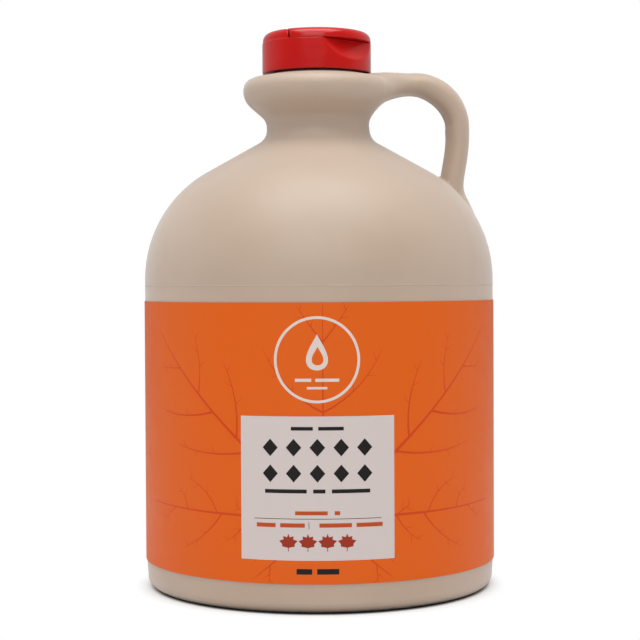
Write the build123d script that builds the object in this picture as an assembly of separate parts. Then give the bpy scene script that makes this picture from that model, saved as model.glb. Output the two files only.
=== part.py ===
from build123d import *
import os
from math import cos, radians, sin, sqrt, tan

# A 1.89 litre maple syrup jug: a round blow-moulded bottle with a loop handle,
# a wrap-round label and a flip-top screw cap. Millimetres, +Z up. The origin is
# on the jug's axis in the plane it stands on. The label's front faces -Y, and
# the handle is on the +X side, turned a little towards +Y.

# --- driving dimensions: bottle ---
BODY_R = 65.8            # straight wall, behind the label and above it
HEEL_R = 65.0            # where the tapered heel would meet the floor
HEEL_CORNER_R = 4.0      # rounding between heel and base
HEEL_TOP_Z = 12.0        # height where the heel meets the straight wall
HEEL_BLEND_R = 30.0
PUSH_UP_R = 47.0         # shallow recess in the base, inside the ring it stands on
PUSH_UP_DEPTH = 1.5
DOME_SLOPE = 29.2        # degrees, slope of the dome where it runs up to the neck
DOME_CORNER_Z = 142.3    # height where that slope would meet the straight wall
DOME_R = 46.0            # rounding of the dome
NECK_R = 19.5
NECK_BLEND_R = 6.2       # hollow between dome and neck
COLLAR_R = 28.4          # thick round collar under the cap
COLLAR_UNDER_SLOPE = 41.0
COLLAR_UNDER_Z = 175.1   # height where the collar's underside would leave the neck
COLLAR_HOLLOW_R = 5.5
COLLAR_LOWER_R = 8.0
COLLAR_UPPER_R = 4.5
COLLAR_TOP_Z = 192.8
COLLAR_TOP_FALL = 2.5    # the collar's top slopes down this much to its rim
SPOUT_R = 15.5           # spout that the cap screws on
SPOUT_BLEND_R = 0.3
SPOUT_TOP_Z = 200.4

# --- driving dimensions: handle, in its own plane (distance from axis, height) ---
HANDLE_TURN = 10.0       # degrees from +X towards +Y
HANDLE_THICK = 8.8       # across the handle, in its plane
HANDLE_WIDE = 13.0       # across the handle, out of its plane
HANDLE_PATH = [(20.0, 188.4), (54.4, 190.6), (54.5, 166.2), (51.9, 149.0), (53.4, 137.0)]
HANDLE_BEND_R = [16.3, 60.0, 30.0]
HANDLE_ROOT_R = 5.0      # rounding where the handle joins the dome
GAP_CENTRE = (34.6, 173.0)   # round top of the finger gap, under the collar
GAP_HALF_LONG = 15.6
GAP_HALF_HIGH = 11.8

# --- driving dimensions: label ---
LABEL_R = 66.1
LABEL_FIT = 0.03         # glue line behind the label
LABEL_LOW_Z = 10.5
LABEL_HIGH_Z = 107.2

# --- driving dimensions: cap ---
CAP_R = 20.6
CAP_SIT_X = -0.5         # the cap sits this far off the spout's axis, within its play
CAP_LOW_Z = 192.9
CAP_LOW_EDGE_R = 0.35
CAP_SPLIT_Z = 204.3      # plane where the skirt ends and the lid begins
CAP_RIM_Z = 208.1        # top of the lid's outer rounding
CAP_TOP_Z = 208.6        # the top is slightly crowned
CAP_LID_INSET = 0.24     # the upper part is this much smaller in radius
CAP_EDGE_R = 3.0         # rounding of the top edge
CAP_BORE_R = 16.3
CAP_BORE_TOP_Z = 200.7
FLAP_TURN = 43.0         # degrees from -Y towards +X that the flap's lip faces
FLAP_SIDE_ANGLE = 72.5   # degrees from the lip's middle to where a side slit starts
FLAP_HINGE_HALF = 5.3    # half the width of the flap at its hinge
SLIT = 0.45              # width of the slits beside the flap
HINGE_BACK = 1.6         # distance of the hinge groove from the rim
HINGE_GROOVE = 0.9       # width and depth of the groove over the thin hinge
SCOOP_DEPTH = 4.0        # thumb scoop under the lip: depth into the skirt,
SCOOP_DROP = 7.6         # height,
SCOOP_HOLLOW = 0.5       # and how far its floor bows inwards

CAP_LID_R = CAP_R - CAP_LID_INSET


def half_section(corners):
    """Line through (radius, height, rounding) corners; the two ends have no rounding."""
    points = [(radius, 0, z) for radius, z, _ in corners]
    return FilletPolyline(*points, radius=[r for _, _, r in corners[1:-1]])


def bottle_body():
    """The bottle turned about its axis, solid up to the rim of its spout."""
    neck_corner_z = DOME_CORNER_Z + (BODY_R - NECK_R) * tan(radians(DOME_SLOPE))
    rim_corner_z = COLLAR_UNDER_Z + (COLLAR_R - NECK_R) * tan(radians(COLLAR_UNDER_SLOPE))
    outline = half_section([
        (PUSH_UP_R, 0, 0),
        (HEEL_R, 0, HEEL_CORNER_R),
        (BODY_R, HEEL_TOP_Z, HEEL_BLEND_R),
        (BODY_R, DOME_CORNER_Z, DOME_R),
        (NECK_R, neck_corner_z, NECK_BLEND_R),
        (NECK_R, COLLAR_UNDER_Z, COLLAR_HOLLOW_R),
        (COLLAR_R, rim_corner_z, COLLAR_LOWER_R),
        (COLLAR_R, COLLAR_TOP_Z - COLLAR_TOP_FALL, COLLAR_UPPER_R),
        (SPOUT_R, COLLAR_TOP_Z, SPOUT_BLEND_R),
        (SPOUT_R, SPOUT_TOP_Z, 0),
    ])
    closing = Polyline(outline @ 1, (0, 0, SPOUT_TOP_Z), (0, 0, PUSH_UP_DEPTH),
                       (PUSH_UP_R - PUSH_UP_DEPTH, 0, PUSH_UP_DEPTH), outline @ 0)
    return revolve(make_face([outline, closing]), Axis.Z)


def handle_loop():
    """Oval section swept from the collar out, round and down into the dome."""
    path = FilletPolyline(*[(rho, 0, z) for rho, z in HANDLE_PATH], radius=HANDLE_BEND_R)
    section = Plane(path @ 0, x_dir=(0, 1, 0), z_dir=path % 0)
    return sweep(section * Ellipse(HANDLE_WIDE / 2, HANDLE_THICK / 2), path=path)


def gap_top():
    """The rounded top of the finger gap, which hollows the collar beside the handle."""
    oval = Ellipse(GAP_HALF_LONG, GAP_HALF_HIGH)
    upper_half = split(oval, Plane.XZ, keep=Keep.BOTTOM)
    return extrude(Plane.XZ * Pos(*GAP_CENTRE) * upper_half, COLLAR_R, both=True)


def round_handle_root(jug):
    """Round the edge where the handle runs into the dome."""
    low, high = HANDLE_PATH[-1][1], HANDLE_PATH[-3][1]
    root = [e for e in jug.edges()
            if e.geom_type == GeomType.BSPLINE and low < e.center().Z < high]
    return fillet(root, HANDLE_ROOT_R)


def build_jug():
    jug = bottle_body() - gap_top() + handle_loop()
    return round_handle_root(jug).rotate(Axis.Z, HANDLE_TURN)


def build_label():
    ring = Circle(LABEL_R) - Circle(BODY_R + LABEL_FIT)
    return extrude(Plane.XY.offset(LABEL_LOW_Z) * ring, LABEL_HIGH_Z - LABEL_LOW_Z)


def cap_upper():
    """Crowned upper part of the cap, before it is split into shoulders and flap."""
    crown_corner = (CAP_LID_R, CAP_RIM_Z, CAP_EDGE_R)
    outline = half_section([(CAP_LID_R, CAP_SPLIT_Z, 0), crown_corner, (0, CAP_TOP_Z, 0)])
    closing = Polyline(outline @ 1, (0, 0, CAP_SPLIT_Z), outline @ 0)
    return revolve(make_face([outline, closing]), Axis.Z)


def flap_region(grow):
    """Fan-shaped column, lip towards +X and hinge towards -X, widened by grow on each side."""
    side = radians(FLAP_SIDE_ANGLE)
    slit = Vector(CAP_LID_R * cos(side), CAP_LID_R * sin(side))
    hinge = Vector(-sqrt(CAP_LID_R ** 2 - FLAP_HINGE_HALF ** 2), FLAP_HINGE_HALF)
    along = (slit - hinge).normalized()
    outward = Vector(-along.Y, along.X) * grow
    near = hinge - along * FLAP_HINGE_HALF + outward
    far = slit + along * CAP_R + outward
    fan = Polygon((near.X, -near.Y), (far.X, -far.Y), (far.X, far.Y), (near.X, near.Y), align=None)
    return extrude(Plane.XY.offset(CAP_SPLIT_Z) * fan, CAP_R)


def thumb_scoop():
    """Hollow in the skirt under the lip: a floor that slants and bows, straight across."""
    inner = Vector(CAP_R - SCOOP_DEPTH, 0, CAP_SPLIT_Z)
    lower = Vector(CAP_R, 0, CAP_SPLIT_Z - SCOOP_DROP)
    slant = (lower - inner).normalized()
    bow = Vector(slant.Z, 0, -slant.X) * SCOOP_HOLLOW
    floor = ThreePointArc(inner, (inner + lower) / 2 + bow, lower)
    closing = Polyline(lower, (2 * CAP_R, 0, lower.Z), (2 * CAP_R, 0, CAP_SPLIT_Z), inner)
    return extrude(make_face([floor, closing]), CAP_R, both=True)


def turned(shape):
    """Swing a piece of the cap from +X round to where the lip faces, and set it on the spout."""
    return Pos(CAP_SIT_X, 0, 0) * shape.rotate(Axis.Z, FLAP_TURN - 90)


def build_cap_base():
    height = CAP_SPLIT_Z - CAP_LOW_Z
    skirt = extrude(Plane.XY.offset(CAP_LOW_Z) * Circle(CAP_R), height)
    skirt = fillet(skirt.edges().sort_by(Axis.Z)[0], CAP_LOW_EDGE_R)
    bore = extrude(Plane.XY.offset(CAP_LOW_Z) * Circle(CAP_BORE_R), CAP_BORE_TOP_Z - CAP_LOW_Z)
    shoulders = cap_upper() - flap_region(SLIT / 2)
    return turned(skirt - bore - thumb_scoop() + shoulders)


def build_flip_lid():
    flap = cap_upper() & flap_region(-SLIT / 2)
    groove_x = -(CAP_LID_R - HINGE_BACK)
    groove = Pos(groove_x, 0, CAP_RIM_Z) * Box(HINGE_GROOVE, CAP_R, 2 * HINGE_GROOVE)
    return turned(flap - groove)


BUILDERS = {
    "jug": build_jug,
    "label": build_label,
    "cap_base": build_cap_base,
    "flip_lid": build_flip_lid,
}

os.makedirs("parts", exist_ok=True)
for node, build in BUILDERS.items():
    export_step(build(), f"parts/{node}.step")
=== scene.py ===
"""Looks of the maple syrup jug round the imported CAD: skins, moulded lines, print, light and camera."""

import math

import bmesh
import bpy
import numpy as np
from mathutils import Euler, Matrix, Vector
from mathutils.geometry import delaunay_2d_cdt


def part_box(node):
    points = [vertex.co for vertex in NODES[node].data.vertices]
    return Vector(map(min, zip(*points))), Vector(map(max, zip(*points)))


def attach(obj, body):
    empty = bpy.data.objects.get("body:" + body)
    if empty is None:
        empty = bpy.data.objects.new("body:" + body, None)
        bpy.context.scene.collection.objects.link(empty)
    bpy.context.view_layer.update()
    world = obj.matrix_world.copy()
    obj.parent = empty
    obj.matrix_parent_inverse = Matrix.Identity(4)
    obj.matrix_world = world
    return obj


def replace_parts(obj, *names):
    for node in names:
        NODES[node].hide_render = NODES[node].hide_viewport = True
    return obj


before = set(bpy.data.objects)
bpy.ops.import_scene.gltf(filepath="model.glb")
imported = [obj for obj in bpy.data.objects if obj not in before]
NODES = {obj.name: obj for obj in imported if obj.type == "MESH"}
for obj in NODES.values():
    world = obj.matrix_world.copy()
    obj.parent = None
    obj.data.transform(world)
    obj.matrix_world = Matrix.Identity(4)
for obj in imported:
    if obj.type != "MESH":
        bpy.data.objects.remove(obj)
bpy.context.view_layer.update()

MM = 0.001
SCENE = bpy.context.scene


def box_mm(node):
    """Lowest and highest corner of a CAD node, in millimetres."""
    low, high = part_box(node)
    return np.array(low) / MM, np.array(high) / MM


JUG_HIGH = box_mm("jug")[1]
LABEL_LOW, LABEL_HIGH = box_mm("label")
CAP_LOW, CAP_HIGH = box_mm("cap_base")
LID_LOW, LID_HIGH = box_mm("flip_lid")

# ---------------------------------------------------------------- sizes, in millimetres
# What the frame gives is read from it. The bottle and the cap repeat the CAD's outlines, with a few
# small roundings added. The handle and its finger gap are close to the CAD's, but not equal to them.
BODY_R = JUG_HIGH[0]
SPOUT_TOP_Z = JUG_HIGH[2]
PUSH_UP_R, PUSH_UP_DEPTH, PUSH_UP_EDGE_R = 47.0, 1.5, 1.2
HEEL_R, HEEL_CORNER_R, HEEL_TOP_Z, HEEL_BLEND_R = 65.0, 4.0, 12.0, 30.0
DOME_CORNER_Z, DOME_SLOPE, DOME_R = 142.3, math.radians(29.2), 46.0
NECK_R, NECK_BLEND_R = 19.5, 6.2
COLLAR_R, COLLAR_UNDER_Z, COLLAR_UNDER_SLOPE = 28.4, 175.1, math.radians(41.0)
COLLAR_HOLLOW_R, COLLAR_LOWER_R, COLLAR_UPPER_R = 5.5, 8.0, 4.5
COLLAR_TOP_Z, COLLAR_TOP_FALL = 192.8, 2.5
SPOUT_R, SPOUT_BLEND_R, SPOUT_RIM_R = 15.5, 0.3, 0.6

# The handle, in its own upright plane: distance from the jug's axis, height and rounding.
HANDLE_TURN = math.radians(10.0)
HANDLE_PATH = [
    (20.0, 188.4, 0),
    (54.4, 190.6, 16.3),
    (54.5, 166.2, 60.0),
    (51.7, 150.0, 30.0),
    (54.0, 132.0, 0),
]
HANDLE_THICK, HANDLE_WIDE = 8.8, 13.0

# Where its oval section grows, as distances along its line, and by how much on each side.
COLLAR_END_FROM, COLLAR_END_TO, COLLAR_END_WIDER = 26.0, 6.0, 1.5
BEND_FROM, BEND_MIDDLE, BEND_TO, BEND_THICKER = 12.0, 30.0, 50.0, 1.6
ROOT_FROM, ROOT_TO, ROOT_THICKER, ROOT_WIDER = 58.0, 84.0, 0.3, 0.5

# How wide it blends into the bottle: a little everywhere, and more where it meets dome and collar.
LEAST_BLEND, DOME_BLEND, COLLAR_BLEND = 1.0, 7.0, 9.0
DOME_BLEND_FROM, DOME_BLEND_TO = 52.0, 59.0          # distances from the jug's axis
COLLAR_BLEND_FROM, COLLAR_BLEND_TO = 8.0, 26.0       # distances from the jug's axis
COLLAR_BLEND_LOW_Z, COLLAR_BLEND_HIGH_Z = 173.0, 184.0

# The finger gap's rounded top, which hollows the collar beside the handle.
GAP_CENTRE, GAP_HALF_LONG, GAP_HALF_HIGH = (34.4, 173.0), 15.4, 11.8
GAP_FLOOR_BLEND, GAP_EDGE_BLEND = 3.0, 2.0

CAP_SIT_X = (CAP_LOW[0] + CAP_HIGH[0]) / 2   # the cap sits this far off the jug's axis
CAP_R = (CAP_HIGH[0] - CAP_LOW[0]) / 2
CAP_LOW_Z = CAP_LOW[2]
CAP_TOP_Z = LID_HIGH[2]
CAP_SPLIT_Z = LID_LOW[2]
CAP_CROWN, CAP_LID_INSET = 0.5, 0.24
CAP_RIM_Z = CAP_TOP_Z - CAP_CROWN
CAP_LID_R = CAP_R - CAP_LID_INSET
CAP_EDGE_R, CAP_LOW_EDGE_R, CAP_SPLIT_EDGE_R = 3.0, 0.4, 0.2
CAP_BORE_R, CAP_BORE_TOP_Z, CAP_BORE_EDGE_R = 16.3, 200.7, 0.5
SHOULDER_SINK, SHOULDER_FOOT_R = 1.5, 0.3    # the shoulders run down into the skirt
SHOULDER_BLEND, CAP_CUT_BLEND = 0.2, 0.4
FLAP_TURN = math.radians(43.0)
FLAP_SIDE_ANGLE, FLAP_HINGE_HALF = math.radians(72.5), 5.3
FLAP_LIFT, FLAP_FOOT_INSET = 0.02, 0.05      # the flap's foot lies just off the skirt and inside its rim
HINGE_BACK, HINGE_GROOVE_R, HINGE_GROOVE_SQUEEZE = 1.6, 0.9, 0.8
SLIT = 0.45
SCOOP_DEPTH, SCOOP_DROP, SCOOP_HOLLOW = 4.0, 7.6, 0.5

PAST_AXIS = -1.0             # a chain that closes on the axis runs this far past it
TINY = 1e-9                  # keeps the very middle of an oval from dividing by nothing
LEAST_SLOPE_SQUARED = 0.05   # keeps a point's step short where a shape's slope fades
RELAX_ROUNDS = 4
JUG_VOXEL, CAP_VOXEL = 1.5, 0.32


# ---------------------------------------------------------------- implicit shapes
def rounded_outline(corners):
    """(x, y, rounding) corners to a chain of straight and round pieces."""
    points = np.array([c[:2] for c in corners], float)
    pieces = []
    last = points[0]
    for before, here, after, corner in zip(points, points[1:], points[2:], corners[1:-1]):
        into = (here - before) / np.linalg.norm(here - before)
        out = (after - here) / np.linalg.norm(after - here)
        cross = into[0] * out[1] - into[1] * out[0]
        turn = math.atan2(cross, float(into @ out))
        reach = corner[2] * math.tan(abs(turn) / 2)
        start, end = here - into * reach, here + out * reach
        side = math.copysign(1.0, turn)
        centre = start + side * corner[2] * np.array([-into[1], into[0]])
        pieces.append(("line", last, start))
        pieces.append(("arc", centre, corner[2], start, end, side))
        last = end
    pieces.append(("line", last, points[-1]))
    return pieces


def outline_distance(pieces, x, y):
    """Distance to a chain, negative on its left; and how far along the chain the nearest point is."""
    best = np.full(x.shape, np.inf)
    signed = best.copy()
    along = np.zeros(x.shape)
    run = 0.0
    for piece in pieces:
        if piece[0] == "line":
            start, end = piece[1:]
            length = float(np.linalg.norm(end - start))
            way = (end - start) / length
            dx, dy = x - start[0], y - start[1]
            t = np.clip(dx * way[0] + dy * way[1], 0, length)
            gap = np.hypot(dx - t * way[0], dy - t * way[1])
            value = np.where(dx * way[1] - dy * way[0] >= 0, gap, -gap)
            inside = np.ones(x.shape, bool)
        else:
            centre, radius, start, end, side = piece[1:]
            dx, dy = x - centre[0], y - centre[1]
            from_start = math.atan2(start[1] - centre[1], start[0] - centre[0])
            to_end = math.atan2(end[1] - centre[1], end[0] - centre[0])
            span = (side * (to_end - from_start)) % (2 * math.pi)
            angle = (side * (np.arctan2(dy, dx) - from_start)) % (2 * math.pi)
            value = side * (np.hypot(dx, dy) - radius)
            gap = np.abs(value)
            inside = angle <= span
            length = radius * span
            t = np.clip(angle, 0, span) * radius
        nearer = inside & (gap < best)
        best = np.where(nearer, gap, best)
        signed = np.where(nearer, value, signed)
        along = np.where(nearer, run + t, along)
        run += length
    return signed, along


def soft_min(a, b, k):
    """Union of two shapes with a blend about k wide."""
    h = np.maximum(k - np.abs(a - b), 0) / k
    return np.minimum(a, b) - h * h * k / 4


def soft_max(a, b, k):
    """Overlap of two shapes with a blend about k wide."""
    return -soft_min(-a, -b, k)


def smooth_step(low, high, x):
    """Runs smoothly from 0 at low to 1 at high, whichever of the two is larger."""
    t = np.clip((x - low) / (high - low), 0, 1)
    return t * t * (3 - 2 * t)


def turned_axes(points, turn):
    """Coordinates along a direction turned from +X towards +Y, across it, and up."""
    c, s = math.cos(turn), math.sin(turn)
    return points[:, 0] * c + points[:, 1] * s, points[:, 1] * c - points[:, 0] * s, points[:, 2]


def revolved(outline, p):
    """Distance to a chain turned about the axis; negative inside."""
    return outline_distance(outline, np.hypot(p[:, 0], p[:, 1]), p[:, 2])[0]


def oval_distance(x, y, half_x, half_y):
    """About the distance to an oval; negative inside."""
    level = np.hypot(x / half_x, y / half_y) + TINY
    return level * (level - 1) / np.hypot(x / half_x ** 2, y / half_y ** 2)


# ---------------------------------------------------------------- bottle and handle
NECK_CORNER_Z = DOME_CORNER_Z + (BODY_R - NECK_R) * math.tan(DOME_SLOPE)
COLLAR_RIM_Z = COLLAR_UNDER_Z + (COLLAR_R - NECK_R) * math.tan(COLLAR_UNDER_SLOPE)
BOTTLE_OUTLINE = rounded_outline([
    (PAST_AXIS, PUSH_UP_DEPTH, 0),
    (PUSH_UP_R - PUSH_UP_DEPTH, PUSH_UP_DEPTH, PUSH_UP_EDGE_R),
    (PUSH_UP_R, 0, PUSH_UP_EDGE_R),
    (HEEL_R, 0, HEEL_CORNER_R),
    (BODY_R, HEEL_TOP_Z, HEEL_BLEND_R),
    (BODY_R, DOME_CORNER_Z, DOME_R),
    (NECK_R, NECK_CORNER_Z, NECK_BLEND_R),
    (NECK_R, COLLAR_UNDER_Z, COLLAR_HOLLOW_R),
    (COLLAR_R, COLLAR_RIM_Z, COLLAR_LOWER_R),
    (COLLAR_R, COLLAR_TOP_Z - COLLAR_TOP_FALL, COLLAR_UPPER_R),
    (SPOUT_R, COLLAR_TOP_Z, SPOUT_BLEND_R),
    (SPOUT_R, SPOUT_TOP_Z, SPOUT_RIM_R),
    (PAST_AXIS, SPOUT_TOP_Z, 0),
])
HANDLE_LINE = rounded_outline(HANDLE_PATH)
HANDLE_START, HANDLE_START_Z = HANDLE_PATH[0][:2]
HANDLE_TOP_Z = HANDLE_START_Z + HANDLE_THICK / 2
HANDLE_RISE = (HANDLE_PATH[1][1] - HANDLE_START_Z) / (HANDLE_PATH[1][0] - HANDLE_START)


def handle_shape(p):
    """Oval tube along the handle's line: fuller inside its bend and towards both of its roots."""
    rho, across, z = turned_axes(p, HANDLE_TURN)
    off, along = outline_distance(HANDLE_LINE, rho, z)
    root = smooth_step(ROOT_FROM, ROOT_TO, along)
    collar_end = smooth_step(COLLAR_END_FROM, COLLAR_END_TO, along)
    bend = smooth_step(BEND_FROM, BEND_MIDDLE, along) * smooth_step(BEND_TO, BEND_MIDDLE, along)
    inside_bend = off > 0
    half_thick = HANDLE_THICK / 2 + ROOT_THICKER * root + BEND_THICKER * bend * inside_bend
    half_wide = HANDLE_WIDE / 2 + ROOT_WIDER * root + COLLAR_END_WIDER * collar_end
    return oval_distance(off, across, half_thick, half_wide)


def gap_shape(p):
    """Round top of the finger gap: an oval column across the handle, down to its own middle."""
    rho, _, z = turned_axes(p, HANDLE_TURN)
    oval = oval_distance(rho - GAP_CENTRE[0], z - GAP_CENTRE[1], GAP_HALF_LONG, GAP_HALF_HIGH)
    return soft_max(oval, GAP_CENTRE[1] - z, GAP_FLOOR_BLEND)


def jug_shape(p):
    """Bottle and handle run together; over the collar nothing rises above the handle's own top."""
    rho, _, z = turned_axes(p, HANDLE_TURN)
    high_up = smooth_step(COLLAR_BLEND_LOW_Z, COLLAR_BLEND_HIGH_Z, z)
    at_collar = high_up * smooth_step(COLLAR_BLEND_FROM, COLLAR_BLEND_TO, rho)
    at_dome = smooth_step(DOME_BLEND_FROM, DOME_BLEND_TO, rho)
    blend = LEAST_BLEND + DOME_BLEND * at_dome + COLLAR_BLEND * at_collar
    handle = np.maximum(handle_shape(p), HANDLE_START - rho)
    whole = soft_min(revolved(BOTTLE_OUTLINE, p), handle, blend)
    above_handle = z - HANDLE_TOP_Z - HANDLE_RISE * np.maximum(rho - HANDLE_START, 0)
    outside_spout = np.hypot(p[:, 0], p[:, 1]) > SPOUT_R + SPOUT_BLEND_R
    whole = np.where(outside_spout, np.maximum(whole, above_handle), whole)
    return soft_max(whole, -gap_shape(p), GAP_EDGE_BLEND)


def gradient(shape, points, step=0.01):
    """How a shape's distance changes along x, y and z at each point."""
    parts = []
    for axis in range(3):
        shift = np.zeros(3)
        shift[axis] = step
        parts.append((shape(points + shift) - shape(points - shift)) / (2 * step))
    return np.stack(parts, 1)


def settle(shape, points, rounds=3):
    """Moves points onto the shape's surface."""
    for _ in range(rounds):
        slope = gradient(shape, points)
        square = np.maximum((slope ** 2).sum(1), LEAST_SLOPE_SQUARED)
        points = points - slope * (shape(points) / square)[:, None]
    return points


def relaxed(points, edges, weight=0.5):
    """Each point moved towards the mean of its neighbours."""
    total = np.zeros_like(points)
    count = np.zeros(len(points))
    for a, b in ((0, 1), (1, 0)):
        np.add.at(total, edges[:, a], points[edges[:, b]])
        np.add.at(count, edges[:, a], 1)
    return points * (1 - weight) + total / count[:, None] * weight


def outward_normals(shape, points):
    """Unit normals of a shape's surface at points on it."""
    normals = gradient(shape, points)
    return normals / np.linalg.norm(normals, axis=1)[:, None]


def link(name, data):
    """Puts a mesh, lamp or camera into the scene as an object."""
    thing = bpy.data.objects.new(name, data)
    SCENE.collection.objects.link(thing)
    return thing


def skin(name, seed_mesh, shape, voxel):
    """Even quad mesh on an implicit shape, grown from a rough closed mesh near it."""
    seed = link(name + "_seed", seed_mesh)
    seed.modifiers.new("voxels", "REMESH").voxel_size = voxel * MM
    graph = bpy.context.evaluated_depsgraph_get()
    mesh = bpy.data.meshes.new_from_object(seed.evaluated_get(graph))
    bpy.data.objects.remove(seed)
    mesh.name = name
    points = np.empty(len(mesh.vertices) * 3)
    mesh.vertices.foreach_get("co", points)
    points = points.reshape(-1, 3) / MM
    edges = np.empty(len(mesh.edges) * 2, int)
    mesh.edges.foreach_get("vertices", edges)
    edges = edges.reshape(-1, 2)
    for _ in range(RELAX_ROUNDS):
        points = settle(shape, relaxed(points, edges), 1)
    points = settle(shape, points)
    mesh.vertices.foreach_set("co", (points * MM).ravel())
    mesh.polygons.foreach_set("use_smooth", np.ones(len(mesh.polygons), bool))
    mesh.update()
    mesh.normals_split_custom_set_from_vertices(outward_normals(shape, points).tolist())
    mesh.materials.clear()
    return link(name, mesh)


# ---------------------------------------------------------------- cap shapes
CAP_SKIRT_OUTLINE = rounded_outline([
    (PAST_AXIS, CAP_BORE_TOP_Z, 0),
    (CAP_BORE_R, CAP_BORE_TOP_Z, CAP_BORE_EDGE_R),
    (CAP_BORE_R, CAP_LOW_Z, CAP_LOW_EDGE_R),
    (CAP_R, CAP_LOW_Z, CAP_LOW_EDGE_R),
    (CAP_R, CAP_SPLIT_Z, CAP_SPLIT_EDGE_R),
    (PAST_AXIS, CAP_SPLIT_Z, 0),
])
CAP_UPPER_OUTLINE = rounded_outline([
    (PAST_AXIS, CAP_SPLIT_Z - SHOULDER_SINK, 0),
    (CAP_LID_R, CAP_SPLIT_Z - SHOULDER_SINK, SHOULDER_FOOT_R),
    (CAP_LID_R, CAP_RIM_Z, CAP_EDGE_R),
    (PAST_AXIS, CAP_TOP_Z, 0),
])
FLAP_OUTLINE = rounded_outline([
    (PAST_AXIS, CAP_SPLIT_Z + FLAP_LIFT, 0),
    (CAP_R - FLAP_FOOT_INSET, CAP_SPLIT_Z + FLAP_LIFT, CAP_SPLIT_EDGE_R),
    (CAP_LID_R, CAP_RIM_Z, CAP_EDGE_R),
    (PAST_AXIS, CAP_TOP_Z, 0),
])


def flap_axes(p):
    """Coordinates from the cap's axis towards the flap's lip, across it, and up."""
    return turned_axes(p, FLAP_TURN - math.pi / 2)


def fan_shape(p):
    """Column of the flap's fan-shaped plan; negative inside it."""
    toward, across, _ = flap_axes(p)
    slit = np.array([CAP_LID_R * math.cos(FLAP_SIDE_ANGLE), CAP_LID_R * math.sin(FLAP_SIDE_ANGLE)])
    hinge = np.array([-math.sqrt(CAP_LID_R ** 2 - FLAP_HINGE_HALF ** 2), FLAP_HINGE_HALF])
    way = (slit - hinge) / np.linalg.norm(slit - hinge)
    return (np.abs(across) - hinge[1]) * way[0] - (toward - hinge[0]) * way[1]


def scoop_shape(p):
    """Thumb scoop: a round hollow that runs straight across under the lip."""
    toward, _, z = flap_axes(p)
    inner = np.array([CAP_R - SCOOP_DEPTH, CAP_SPLIT_Z])
    lower = np.array([CAP_R, CAP_SPLIT_Z - SCOOP_DROP])
    half = np.linalg.norm(lower - inner) / 2
    radius = (half ** 2 + SCOOP_HOLLOW ** 2) / (2 * SCOOP_HOLLOW)
    slant = (lower - inner) / (2 * half)
    centre = (inner + lower) / 2 - np.array([slant[1], -slant[0]]) * (radius - SCOOP_HOLLOW)
    return np.hypot(toward - centre[0], z - centre[1]) - radius


def from_cap_axis(p):
    """Points measured from the cap's axis, which lies a little off the jug's."""
    return p - np.array([CAP_SIT_X, 0, 0])


def cap_base_shape(p):
    """The skirt with its thumb scoop, and the fixed shoulders on both sides of the flap."""
    p = from_cap_axis(p)
    skirt = soft_max(revolved(CAP_SKIRT_OUTLINE, p), -scoop_shape(p), CAP_CUT_BLEND)
    shoulders = soft_max(revolved(CAP_UPPER_OUTLINE, p), SLIT / 2 - fan_shape(p), CAP_CUT_BLEND)
    return soft_min(skirt, shoulders, SHOULDER_BLEND)


def flip_lid_shape(p):
    """The fan-shaped flap, with the groove over its thin hinge."""
    p = from_cap_axis(p)
    toward, _, z = flap_axes(p)
    from_hinge = toward + CAP_LID_R - HINGE_BACK
    groove = HINGE_GROOVE_R - np.hypot(from_hinge, (z - CAP_RIM_Z) * HINGE_GROOVE_SQUEEZE)
    flap = soft_max(revolved(FLAP_OUTLINE, p), SLIT / 2 + fan_shape(p), CAP_CUT_BLEND)
    return soft_max(flap, groove, CAP_CUT_BLEND)


# ---------------------------------------------------------------- camera
CAMERA_DISTANCE, CAMERA_HEIGHT = 632.5 * MM, 114.7 * MM
CAMERA_PITCH, CAMERA_YAW, CAMERA_ROLL = math.radians(1.366), math.radians(0.031), math.radians(0.26)
CAMERA_LENS, CAMERA_SENSOR = 93.4, 36        # millimetres, as Blender takes them
CAMERA_NEAREST, CAMERA_FURTHEST = 0.01, 20   # metres


def make_camera():
    """Long-lens camera in front of the label, a little above the jug's middle and tipped down."""
    data = bpy.data.cameras.new("camera")
    data.lens, data.sensor_width = CAMERA_LENS, CAMERA_SENSOR
    data.clip_start, data.clip_end = CAMERA_NEAREST, CAMERA_FURTHEST
    camera = link("camera", data)
    camera.location = (0, -CAMERA_DISTANCE, CAMERA_HEIGHT)
    aim = Euler((math.pi / 2 - CAMERA_PITCH, 0, -CAMERA_YAW)).to_matrix()
    camera.rotation_euler = (aim @ Euler((0, 0, -CAMERA_ROLL)).to_matrix()).to_euler()
    SCENE.camera = camera


make_camera()


# ---------------------------------------------------------------- materials
def srgb(red, green, blue):
    """An 8-bit sRGB colour as the linear one that shaders take."""
    def linear(v):
        v /= 255
        return v / 12.92 if v <= 0.04045 else ((v + 0.055) / 1.055) ** 2.4
    return linear(red), linear(green), linear(blue), 1.0


def new_material(name, roughness, **sockets):
    """Principled material; a socket's name has underscores in place of its blanks."""
    material = bpy.data.materials.new(name)
    material.use_nodes = True
    shader = material.node_tree.nodes["Principled BSDF"]
    shader.inputs["Roughness"].default_value = roughness
    for key, value in sockets.items():
        shader.inputs[key.replace("_", " ")].default_value = value
    return material, material.node_tree, shader


def noise(tree, scale, detail=2.0, stretch=(1, 1, 1)):
    """Noise over the object's own coordinates, in metres; scale is in features per metre."""
    place = tree.nodes.new("ShaderNodeTexCoord")
    mapping = tree.nodes.new("ShaderNodeMapping")
    mapping.inputs["Scale"].default_value = stretch
    tree.links.new(place.outputs["Object"], mapping.inputs["Vector"])
    node = tree.nodes.new("ShaderNodeTexNoise")
    node.inputs["Scale"].default_value = scale
    node.inputs["Detail"].default_value = detail
    tree.links.new(mapping.outputs["Vector"], node.inputs["Vector"])
    return node.outputs["Fac"]


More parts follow.
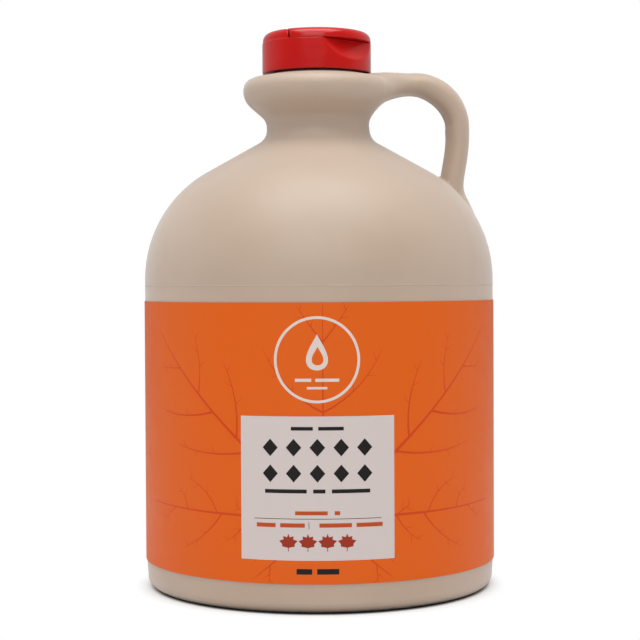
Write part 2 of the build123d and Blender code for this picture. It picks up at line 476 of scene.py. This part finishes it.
def ramp(tree, factor, low, high, start=0.3, end=0.7):
    """Colour or grey that runs from low to high as the factor runs from start to end."""
    node = tree.nodes.new("ShaderNodeValToRGB")
    stops = node.color_ramp.elements
    stops[0].position, stops[1].position = start, end
    stops[0].color, stops[1].color = low, high
    tree.links.new(factor, node.inputs["Fac"])
    return node.outputs["Color"]


def bump(tree, shader, height, depth_mm, strength):
    """Relief in the shading alone, as deep as depth_mm where the height runs from 0 to 1."""
    node = tree.nodes.new("ShaderNodeBump")
    node.inputs["Strength"].default_value = strength
    node.inputs["Distance"].default_value = depth_mm * MM
    tree.links.new(height, node.inputs["Height"])
    tree.links.new(node.outputs["Normal"], shader.inputs["Normal"])


def grey(value):
    """A colour with all three channels at the value, not converted from sRGB."""
    return value, value, value, 1.0


def jug_plastic():
    """Beige polyethylene: satin, very slightly uneven in tone and in gloss, with a fine moulded grain."""
    material, tree, shader = new_material(
        "jug_plastic", 0.5, IOR=1.5, Sheen_Weight=0.35, Sheen_Roughness=0.45)
    tone = ramp(tree, noise(tree, 28, 3), srgb(177, 156, 138), srgb(182, 161, 143))
    tree.links.new(tone, shader.inputs["Base Color"])
    gloss = ramp(tree, noise(tree, 160, 4), grey(0.4), grey(0.5))
    tree.links.new(gloss, shader.inputs["Roughness"])
    bump(tree, shader, noise(tree, 1400, 3), 0.02, 0.35)
    return material


def cap_plastic():
    """Glossy red polypropylene with faint flow unevenness."""
    material, tree, shader = new_material("cap_plastic", 0.2, IOR=1.45)
    tone = ramp(tree, noise(tree, 60, 2), srgb(181, 10, 6), srgb(187, 13, 8))
    tree.links.new(tone, shader.inputs["Base Color"])
    gloss = ramp(tree, noise(tree, 300, 4), grey(0.16), grey(0.24))
    tree.links.new(gloss, shader.inputs["Roughness"])
    bump(tree, shader, noise(tree, 90, 2), 0.02, 0.3)
    return material


JUG_PLASTIC = jug_plastic()
CAP_PLASTIC = cap_plastic()


def finish_piece(piece, slot, *materials):
    """Rides the piece on the jug's one body and gives it its materials."""
    for material in materials:
        piece.data.materials.append(material)
    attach(piece, "root")
    return piece


# ---------------------------------------------------------------- pieces on the CAD solids
jug = skin("jug_bottle", NODES["jug"].data.copy(), jug_shape, JUG_VOXEL)
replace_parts(finish_piece(jug, "jug", JUG_PLASTIC), "jug")
cap_base = skin("cap_skirt", NODES["cap_base"].data.copy(), cap_base_shape, CAP_VOXEL)
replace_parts(finish_piece(cap_base, "cap", CAP_PLASTIC), "cap_base")
flip_lid = skin("cap_flap", NODES["flip_lid"].data.copy(), flip_lid_shape, CAP_VOXEL)
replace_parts(finish_piece(flip_lid, "cap", CAP_PLASTIC), "flip_lid")


# ---------------------------------------------------------------- moulded lines on the jug
BEAD_HALF, BEAD_HIGH, BEAD_SUNK = 0.28, 0.1, 0.05
BEAD_SHOULDER = BEAD_HIGH * 0.8
# Across the bead, as shares of its half width, and up from the surface that it lies on.
BEAD_PROFILE = [
    (-1.0, -BEAD_SUNK), (-0.5, BEAD_SHOULDER), (0.0, BEAD_HIGH), (0.5, BEAD_SHOULDER), (1.0, -BEAD_SUNK),
]
MOULD_RING_Z, MOULD_RING_POINTS = 113.0, 240


def plane_contours(mesh, turn):
    """Closed rows of points, in millimetres, where a mesh crosses the upright plane through the axis."""
    work = bmesh.new()
    work.from_mesh(mesh)
    everything = work.verts[:] + work.edges[:] + work.faces[:]
    normal = (-math.sin(turn), math.cos(turn), 0)
    cut = bmesh.ops.bisect_plane(work, geom=everything, plane_co=(0, 0, 0), plane_no=normal)["geom_cut"]
    around = {}
    for edge in (e for e in cut if isinstance(e, bmesh.types.BMEdge)):
        a, b = edge.verts
        around.setdefault(a, []).append(b)
        around.setdefault(b, []).append(a)
    rows = []
    while around:
        here = min(around, key=lambda v: v.index)
        row = []
        while here is not None:
            row.append(np.array(here.co) / MM)
            ways = around.pop(here)
            here = next((v for v in ways if v in around), None)
        rows.append(np.array(row))
    work.free()
    return rows


def bead(name, middle, outward, sideways):
    """Low rounded ridge along a closed row of points, kept above the floor."""
    rings = [middle + sideways * BEAD_HALF * side + outward * up for side, up in BEAD_PROFILE]
    count, wide = len(middle), len(BEAD_PROFILE)
    points = np.stack(rings, 1).reshape(-1, 3)
    points[:, 2] = np.maximum(points[:, 2], 0)
    faces = []
    for i in range(count):
        for j in range(wide):
            a, b = i * wide, (i + 1) % count * wide
            faces.append((a + j, a + (j + 1) % wide, b + (j + 1) % wide, b + j))
    mesh = bpy.data.meshes.new(name)
    mesh.from_pydata((points * MM).tolist(), [], faces)
    work = bmesh.new()
    work.from_mesh(mesh)
    bmesh.ops.recalc_face_normals(work, faces=work.faces[:])
    work.to_mesh(mesh)
    work.free()
    mesh.polygons.foreach_set("use_smooth", np.ones(len(mesh.polygons), bool))
    return finish_piece(link(name, mesh), "jug", JUG_PLASTIC)


def make_parting_line():
    """The line that the two mould halves leave all round, in the handle's plane."""
    sideways = np.array([-math.sin(HANDLE_TURN), math.cos(HANDLE_TURN), 0])
    for i, row in enumerate(plane_contours(jug.data, HANDLE_TURN)):
        middle = settle(jug_shape, row)
        bead(f"parting_line_{i + 1}", middle, outward_normals(jug_shape, middle), sideways)


def make_mould_ring():
    """The faint ring above the label, where the body's mould begins."""
    angle = np.linspace(0, 2 * math.pi, MOULD_RING_POINTS, endpoint=False)
    outward = np.stack([np.cos(angle), np.sin(angle), np.zeros(MOULD_RING_POINTS)], 1)
    middle = outward * BODY_R + np.array([0, 0, MOULD_RING_Z])
    bead("mould_ring", middle, outward, np.array([0, 0, 1.0]))


make_parting_line()
make_mould_ring()


# ---------------------------------------------------------------- label print
# The label is drawn flat and then rolled: x runs along the film from the front's middle to the
# viewer's right, z is the height on the jug.
LABEL_R = LABEL_HIGH[0]
FILM = 0.25
HALF_TURN = math.pi * LABEL_R
OVERLAP, OVERLAP_RAMP, OVERLAP_CLEARANCE = 8.0, 5.0, 0.02
FRONT_X = -0.8               # the front print sits this far left of the middle
FRONT_LEAF_X = 2.0 + FRONT_X

GROUND_COLOUR = srgb(214, 91, 6)
LABEL_COLOURS = {
    "ground": GROUND_COLOUR,
    "vein": srgb(200, 62, 6),
    "panel": srgb(202, 191, 188),
    "white": srgb(212, 200, 192),
    "ink": srgb(16, 10, 10),
    "leaf": srgb(148, 44, 20),
    "rust": srgb(178, 72, 22),
    "glint": GROUND_COLOUR,
}
REGIONS = list(LABEL_COLOURS)
shapes = []                  # (region, outline) pairs; a later region covers an earlier one


def add_shape(region, outline):
    """Adds an outline, counter-clockwise."""
    area = sum(a[0] * b[1] - b[0] * a[1] for a, b in zip(outline, outline[1:] + outline[:1]))
    shapes.append((region, outline if area > 0 else outline[::-1]))


def add_bar(region, x, z, width, height):
    """Upright rectangle about (x, z)."""
    a, b = width / 2, height / 2
    add_shape(region, [(x - a, z - b), (x + a, z - b), (x + a, z + b), (x - a, z + b)])


def add_diamond(region, x, z, width, height):
    """Plain diamond about (x, z)."""
    a, b = width / 2, height / 2
    add_shape(region, [(x - a, z), (x, z - b), (x + a, z), (x, z + b)])


def add_words(region, x, z, height, widths, gap):
    """A row of plain bars, centred on x, in place of a line of words."""
    left = x - (sum(widths) + gap * (len(widths) - 1)) / 2
    for width in widths:
        add_bar(region, left + width / 2, z, width, height)
        left += width + gap


def add_vein(x, z, heading, length, curl, width):
    """A tapered line that turns by curl degrees over its length."""
    steps = max(LEAST_VEIN_STEPS, round(length / VEIN_STEP))
    turns = [math.radians(heading + curl * (i + 0.5) / steps) for i in range(steps)]
    middle = [(x, z)]
    for turn in turns:
        step = length / steps
        middle.append((middle[-1][0] + step * math.cos(turn), middle[-1][1] + step * math.sin(turn)))
    left, right = [], []
    for i, (px, pz) in enumerate(middle[:-1]):
        half = width / 2 * (1 - VEIN_TAPER * i / steps)
        nx, nz = -math.sin(turns[i]) * half, math.cos(turns[i]) * half
        left.append((px + nx, pz + nz))
        right.append((px - nx, pz - nz))
    add_shape("vein", right + [middle[-1]] + left[::-1])


def along_vein(x, z, heading, length, curl, distance):
    """Point some way along a vein."""
    turn = math.radians(heading + curl * distance / length / 2)
    return x + distance * math.cos(turn), z + distance * math.sin(turn)


# Main veins from the leaf's base: heading, length, curl, width, and their branches, each with its
# distance along the vein, heading, length, curl and width. They're for the right half of the leaf.
LEAF_BASE_Z = 33.5
LEAF_VEINS = [
    (90, 76, 0, 0.9, [(36, 26, 32, 42, 0.7), (60, 52, 17, 5, 0.6)]),
    (40, 97, 4, 1.5, [(34, -10, 35, 26, 0.85), (41, 97, 29, -39, 0.8), (54, -14, 29, 28, 0.9),
                      (63, 102, 24, -40, 0.55), (76, -4, 13, 8, 0.5)]),
    (0, 79, 2, 1.3, [(26, 32, 7, 0, 0.5), (26, -64, 15, 42, 0.55), (39, 68, 20, -62, 0.55),
                     (37, -54, 25, 38, 0.65), (53, 82, 11, -66, 0.5), (60, -38, 10, 10, 0.4)]),
    (-44, 34, 6, 1.1, [(22, 2, 11, 4, 0.5), (25, -88, 8, 6, 0.5)]),
]
TWIG_LENGTH, TWIG_WIDTH, TWIG_LEAN = 3.6, 0.3, 52
TWIG_SHARES = (0.4, 0.62, 0.8)   # how far along a branch its twigs stand
VEIN_STEP, LEAST_VEIN_STEPS, VEIN_TAPER = 4, 4, 0.8


def add_leaf_veins(x):
    """The ground's large leaf of veins, both halves."""
    for side in (1, -1):
        def vein(px, pz, heading, length, curl, width):
            add_vein(x + side * px, pz, heading if side > 0 else 180 - heading, length, side * curl, width)
        for heading, length, curl, width, branches in LEAF_VEINS:
            if side > 0 or heading < 90:
                vein(0, LEAF_BASE_Z, heading, length, curl, width)
            for distance, branch_heading, branch_length, branch_curl, branch_width in branches:
                px, pz = along_vein(0, LEAF_BASE_Z, heading, length, curl, distance)
                vein(px, pz, branch_heading, branch_length, branch_curl, branch_width)
                lean = TWIG_LEAN
                for share in TWIG_SHARES:
                    far = share * branch_length
                    tx, tz = along_vein(px, pz, branch_heading, branch_length, branch_curl, far)
                    vein(tx, tz, branch_heading + branch_curl * share + lean, TWIG_LENGTH, 0, TWIG_WIDTH)
                    lean = -lean


def add_ring(x, z, outer, line, count=72):
    """Plain ring, as a row of short four-sided pieces."""
    for i in range(count):
        a, b = 2 * math.pi * i / count, 2 * math.pi * (i + 1) / count
        corners = [(outer - line, a), (outer, a), (outer, b), (outer - line, b)]
        add_shape("white", [(x + r * math.cos(t), z + r * math.sin(t)) for r, t in corners])


DROP_POINT, DROP_FULLNESS = 1.5, 1.25


def drop_outline(x, z, height, width, count=40):
    """A plain drop with its point up."""
    points = []
    for i in range(count):
        t = 2 * math.pi * i / count
        aside = width / 2 * math.sin(t) * math.sin(t / 2) ** DROP_POINT * DROP_FULLNESS
        points.append((x + aside, z + height / 2 * math.cos(t)))
    return points


# Tips and notches of half a plain leaf, from its top round to its stalk: degrees from upright, and
# radius as a share of the leaf's size.
LEAF_CORNERS = [
    (0, 1.0), (15, 0.62), (40, 0.94), (58, 0.66), (80, 1.08),
    (104, 0.74), (122, 0.86), (158, 0.6), (176, 0.62), (177, 1.0),
]


def add_tree_leaf(x, z, size):
    """A plain pointed leaf on a short stalk."""
    half = [(math.radians(angle), size * reach) for angle, reach in LEAF_CORNERS]
    outline = [(x + r * math.sin(t), z + r * math.cos(t)) for t, r in half]
    outline += [(x - r * math.sin(t), z + r * math.cos(t)) for t, r in half[:0:-1]]
    add_shape("leaf", outline)


# The front print. Every _Z is a middle's height on the jug. A row of bars stands for a line of words
# and is given as height on the jug, bar height, bar widths and the gap between bars.
RING_Z, RING_R, RING_LINE = 87.6, 14.9, 0.95
DROP_Z, DROP_HIGH, DROP_WIDE = 90.2, 12.5, 8.6
GLINT_SHIFT, GLINT_Z, GLINT_HIGH, GLINT_WIDE = 0.2, 88.9, 6.4, 4.6
RING_WORDS = [(80.6, 1.1, [5.6, 8.2], 1.4), (77.9, 0.8, [7.0], 0)]
PANEL_Z, PANEL_WIDE, PANEL_HIGH = 43.45, 54.4, 49.5
WORDS_OVER_HEADINGS = (64.0, 1.25, [7.6, 8.8], 1.8)
HEADINGS_Z = (57.5, 48.6)
DIAMONDS, DIAMOND_PITCH, DIAMOND_WIDE, DIAMOND_HIGH = 5, 8.2, 5.4, 6.1
WORDS_UNDER_HEADINGS = (42.5, 1.35, [14.6, 4.2, 13.4], 2.2)
WORDS_OVER_RULE = (35.0, 1.35, [11.2, 1.9], 2.4)
RULE_Z, RULE_WIDE, RULE_HIGH = 33.0, 44.6, 0.22
SIDE_WORDS = {-1: [6.8, 8.6], 1: [11.2, 9.4]}      # bar widths left and right of the divider
SIDE_WORDS_Z, SIDE_WORDS_HIGH, SIDE_WORDS_GAP = 30.8, 1.45, 1.6
SIDE_WORDS_APART, SIDE_WORDS_SHIFT = 12.3, -0.6
DIVIDER_SHIFT, DIVIDER_WIDE, DIVIDER_HIGH = -3.0, 0.2, 2.4
LEAVES, LEAF_PITCH, LEAF_ROW_Z, LEAF_SIZE = 4, 6.75, 24.9, 3.05
FOOT_WORDS = (14.9, 1.9, [5.4, 7.6], 1.7)


def row_of(count, pitch):
    """Places about the front's middle, evenly spaced."""
    return [FRONT_X + (i - (count - 1) / 2) * pitch for i in range(count)]


def draw_emblem():
    """A ring with a drop and two rows of bars in it."""
    add_ring(FRONT_X, RING_Z, RING_R, RING_LINE)
    add_shape("white", drop_outline(FRONT_X, DROP_Z, DROP_HIGH, DROP_WIDE))
    add_shape("glint", drop_outline(FRONT_X + GLINT_SHIFT, GLINT_Z, GLINT_HIGH, GLINT_WIDE))
    for words in RING_WORDS:
        add_words("white", FRONT_X, *words)


def draw_panel():
    """The pale panel, with diamonds for its headings, bars for its smaller words, and a row of leaves."""
    add_bar("panel", FRONT_X, PANEL_Z, PANEL_WIDE, PANEL_HIGH)
    add_words("ink", FRONT_X, *WORDS_OVER_HEADINGS)
    for z in HEADINGS_Z:
        for x in row_of(DIAMONDS, DIAMOND_PITCH):
            add_diamond("ink", x, z, DIAMOND_WIDE, DIAMOND_HIGH)
    add_words("ink", FRONT_X, *WORDS_UNDER_HEADINGS)
    add_words("rust", FRONT_X, *WORDS_OVER_RULE)
    add_bar("ink", FRONT_X, RULE_Z, RULE_WIDE, RULE_HIGH)
    for side, widths in SIDE_WORDS.items():
        x = FRONT_X + side * SIDE_WORDS_APART + SIDE_WORDS_SHIFT
        add_words("rust", x, SIDE_WORDS_Z, SIDE_WORDS_HIGH, widths, SIDE_WORDS_GAP)
    add_bar("ink", FRONT_X + DIVIDER_SHIFT, SIDE_WORDS_Z, DIVIDER_WIDE, DIVIDER_HIGH)
    for x in row_of(LEAVES, LEAF_PITCH):
        add_tree_leaf(x, LEAF_ROW_Z, LEAF_SIZE)


def draw_label():
    """The whole print: veins all round, the emblem over the panel, and a row of bars at the foot."""
    for x in (-HALF_TURN, FRONT_LEAF_X, HALF_TURN):
        add_leaf_veins(x)
    draw_emblem()
    draw_panel()
    add_words("ink", FRONT_X, *FOOT_WORDS)


LABEL_ROUGH_LOW, LABEL_ROUGH_HIGH = 0.42, 0.5


def label_material(region, colour):
    """Printed film: one clean colour with a soft, slightly uneven gloss and a faint waviness."""
    material, tree, shader = new_material("label_" + region, LABEL_ROUGH_LOW, IOR=1.33)
    shader.inputs["Base Color"].default_value = colour
    gloss = ramp(tree, noise(tree, 120, 3), grey(LABEL_ROUGH_LOW), grey(LABEL_ROUGH_HIGH))
    tree.links.new(gloss, shader.inputs["Roughness"])
    bump(tree, shader, noise(tree, 45, 2, (1, 1, 0.35)), 0.06, 0.3)
    return material


# ---------------------------------------------------------------- label sheet
COLUMNS, ROWS, OVERLAP_COLUMNS = 180, 8, 3
INSIDE_TRIANGLES, CUT_TOLERANCE = 1, 1e-5   # the first is what delaunay_2d_cdt is to return


def film_grid():
    """The blank film as a grid of four-sided pieces, past the far end by the overlap."""
    low, high = LABEL_LOW[2], LABEL_HIGH[2]
    step = 2 * HALF_TURN / COLUMNS
    xs = [-HALF_TURN + i * step for i in range(COLUMNS + 1)]
    xs += [HALF_TURN + OVERLAP / OVERLAP_COLUMNS * (i + 1) for i in range(OVERLAP_COLUMNS)]
    zs = [low + (high - low) * i / ROWS for i in range(ROWS + 1)]
    points = [(x, z) for x in xs for z in zs]
    wide = len(zs)
    faces = []
    for i in range(len(xs) - 1):
        for j in range(ROWS):
            a = i * wide + j
            faces.append([a, a + wide, a + wide + 1, a + 1])
    return points, faces


def cut_film():
    """Triangles of the flat film, each with the topmost region that covers it."""
    points, faces = film_grid()
    levels = [0] * len(faces)
    for region, outline in shapes:
        faces.append(list(range(len(points), len(points) + len(outline))))
        points += outline
        levels.append(REGIONS.index(region))
    blank = sum(level == 0 for level in levels)
    places = [Vector(p) for p in points]
    result = delaunay_2d_cdt(places, [], faces, INSIDE_TRIANGLES, CUT_TOLERANCE)
    flat, triangles, sources = result[0], result[2], result[5]
    kept, regions = [], []
    for triangle, source in zip(triangles, sources):
        if any(face < blank for face in source):
            kept.append(tuple(triangle))
            regions.append(max(levels[face] for face in source))
    return np.array([tuple(p) for p in flat]), kept, regions


def rolled(flat, sunk):
    """Points of the flat film on the jug, sunk below the film's face; its far end rides over its start."""
    ride = smooth_step(HALF_TURN - OVERLAP_RAMP, HALF_TURN, flat[:, 0]) * (FILM + OVERLAP_CLEARANCE)
    radius = LABEL_R + ride - sunk
    angle = flat[:, 0] / LABEL_R
    return np.stack([radius * np.sin(angle), -radius * np.cos(angle), flat[:, 1]], 1)


def film_normals(mesh, flat):
    """A normal for each corner: round the jug on the film's two faces, and flat along its rims."""
    count = len(flat)
    angle = flat[:, 0] / LABEL_R
    out = np.stack([np.sin(angle), -np.cos(angle), np.zeros(count)], 1)
    normals = []
    for face in mesh.polygons:
        if len(face.vertices) == 4:
            normals += [tuple(face.normal)] * 4
        else:
            normals += [tuple(out[i]) if i < count else tuple(-out[i - count]) for i in face.vertices]
    return normals


def make_label():
    """The printed film as one closed sheet, with a material for each colour of the print."""
    flat, triangles, regions = cut_film()
    used = sorted({i for t in triangles for i in t})
    index = {old: new for new, old in enumerate(used)}
    flat = flat[used]
    triangles = [tuple(index[i] for i in t) for t in triangles]
    count = len(flat)
    sides = dict.fromkeys(edge for a, b, c in triangles for edge in ((a, b), (b, c), (c, a)))
    rims = [(a, b) for a, b in sides if (b, a) not in sides]
    faces = triangles + [(c + count, b + count, a + count) for a, b, c in triangles]
    faces += [(b, a, a + count, b + count) for a, b in rims]
    points = np.concatenate([rolled(flat, 0), rolled(flat, FILM)])
    mesh = bpy.data.meshes.new("label_film")
    mesh.from_pydata((points * MM).tolist(), [], faces)
    mesh.polygons.foreach_set("material_index", regions + [0] * (len(faces) - len(regions)))
    mesh.polygons.foreach_set("use_smooth", np.ones(len(faces), bool))
    mesh.normals_split_custom_set(film_normals(mesh, flat))
    materials = [label_material(region, colour) for region, colour in LABEL_COLOURS.items()]
    return finish_piece(link("label_film", mesh), "label", *materials)


draw_label()
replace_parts(make_label(), "label")


# ---------------------------------------------------------------- floor, light and background
FLOOR_HALF, FLOOR_ROUGHNESS = 3.0, 0.6
# the first is the darkest colour of the painted contact shadow, the second the floor's own pale colour
PAINTED_CONTACT_SHADOW_TONE, FLOOR_TONE = 0.04, 0.85
# Distances on the floor from the shadow's middle, which lies a little in front of the jug's axis. The
# floor's colour holds a painted contact shadow: dark up to the first contact distance and pale past the
# second. Its own shading fades to plain white between SHADOW_FROM and SHADOW_TO.
SHADOW_MIDDLE = (0, -3.4 * MM, 0)
PAINTED_CONTACT_SHADOW_FROM, PAINTED_CONTACT_SHADOW_TO = 60.4 * MM, 64.2 * MM
SHADOW_FROM, SHADOW_TO = 61.5 * MM, 70.5 * MM


def linked_math(tree, operation, first, second):
    """Math node on two sockets or numbers."""
    node = tree.nodes.new("ShaderNodeMath")
    node.operation = operation
    for socket, value in zip(node.inputs, (first, second)):
        if isinstance(value, (int, float)):
            socket.default_value = value
        else:
            tree.links.new(value, socket)
    return node.outputs[0]


def map_range(tree, value, from_low, from_high, to_low, to_high):
    """Runs smoothly from to_low to to_high as the value runs from from_low to from_high."""
    node = tree.nodes.new("ShaderNodeMapRange")
    node.interpolation_type = "SMOOTHSTEP"
    keys = ("From Min", "From Max", "To Min", "To Max")
    for key, number in zip(keys, (from_low, from_high, to_low, to_high)):
        node.inputs[key].default_value = number
    tree.links.new(value, node.inputs["Value"])
    return node.outputs["Result"]


def make_floor():
    """Pale floor with the jug's shadow and a painted contact shadow near it; further out the camera sees
    plain white.
    """
    h = FLOOR_HALF
    mesh = bpy.data.meshes.new("floor")
    mesh.from_pydata([(-h, -h, 0), (h, -h, 0), (h, h, 0), (-h, h, 0)], [], [(0, 1, 2, 3)])
    floor = link("floor", mesh)
    material, tree, shader = new_material("floor_white", FLOOR_ROUGHNESS)
    place = tree.nodes.new("ShaderNodeNewGeometry").outputs["Position"]
    distance = tree.nodes.new("ShaderNodeVectorMath")
    distance.operation = "DISTANCE"
    tree.links.new(place, distance.inputs[0])
    distance.inputs[1].default_value = SHADOW_MIDDLE
    far = map_range(tree, distance.outputs["Value"], SHADOW_FROM, SHADOW_TO, 0, 1)
    # painted contact shadow: the floor's colour runs from dark near the jug's foot to its own pale tone
    tone = map_range(tree, distance.outputs["Value"], PAINTED_CONTACT_SHADOW_FROM, PAINTED_CONTACT_SHADOW_TO, PAINTED_CONTACT_SHADOW_TONE, FLOOR_TONE)
    tree.links.new(tone, shader.inputs["Base Color"])
    camera_ray = tree.nodes.new("ShaderNodeLightPath").outputs["Is Camera Ray"]
    white = tree.nodes.new("ShaderNodeEmission")
    either = tree.nodes.new("ShaderNodeMixShader")
    tree.links.new(linked_math(tree, "MULTIPLY", camera_ray, far), either.inputs[0])
    tree.links.new(shader.outputs[0], either.inputs[1])
    tree.links.new(white.outputs[0], either.inputs[2])
    tree.links.new(either.outputs[0], tree.nodes["Material Output"].inputs["Surface"])
    mesh.materials.append(material)


# Name, place, aim, width, height, watts, and whether glossy surfaces reflect it.
LAMPS = [
    ("overhead", (0.0, -0.24, 0.95), (0, 0, 0.12), 0.9, 0.7, 7.8, True),
    ("front_high", (-0.15, -1.25, 0.8), (0, 0, 0.1), 1.1, 0.6, 5.4, True),
    ("left_side", (-1.1, 0.1, 0.45), (0, 0, 0.12), 0.6, 0.9, 1.8, False),
    ("right_side", (1.1, 0.1, 0.45), (0, 0, 0.12), 0.6, 0.9, 2.4, False),
]
WORLD_FRONT, WORLD_BACK = 0.26, 0.54
FADE_FROM_Y, FADE_TO_Y = -0.5, 0.6   # of a unit direction, between the front's level and the back's


def make_world():
    """Surroundings that are dim in front of the jug and bright behind it, and white to the camera."""
    world = bpy.data.worlds.new("studio")
    world.use_nodes = True
    SCENE.world = world
    tree = world.node_tree
    background = tree.nodes["Background"]
    background.inputs["Color"].default_value = (1, 1, 1, 1)
    way = tree.nodes.new("ShaderNodeTexCoord").outputs["Generated"]
    parts = tree.nodes.new("ShaderNodeSeparateXYZ")
    tree.links.new(way, parts.inputs[0])
    level = map_range(tree, parts.outputs["Y"], FADE_FROM_Y, FADE_TO_Y, WORLD_FRONT, WORLD_BACK)
    camera_ray = tree.nodes.new("ShaderNodeLightPath").outputs["Is Camera Ray"]
    tree.links.new(linked_math(tree, "MAXIMUM", level, camera_ray), background.inputs["Strength"])


def make_softbox(name, place, aim, width, height, power, in_gloss):
    """Flat lamp that faces its aim; one kept out of gloss leaves no streak on the cap."""
    data = bpy.data.lights.new(name, "AREA")
    data.shape = "RECTANGLE"
    data.size, data.size_y = width, height
    data.energy = power
    lamp = link(name, data)
    lamp.location = place
    lamp.visible_glossy = in_gloss
    lamp.rotation_euler = (Vector(aim) - Vector(place)).to_track_quat("-Z", "Y").to_euler()


SCENE.view_settings.view_transform = "Standard"
make_floor()
make_world()
for lamp in LAMPS:
    make_softbox(*lamp)
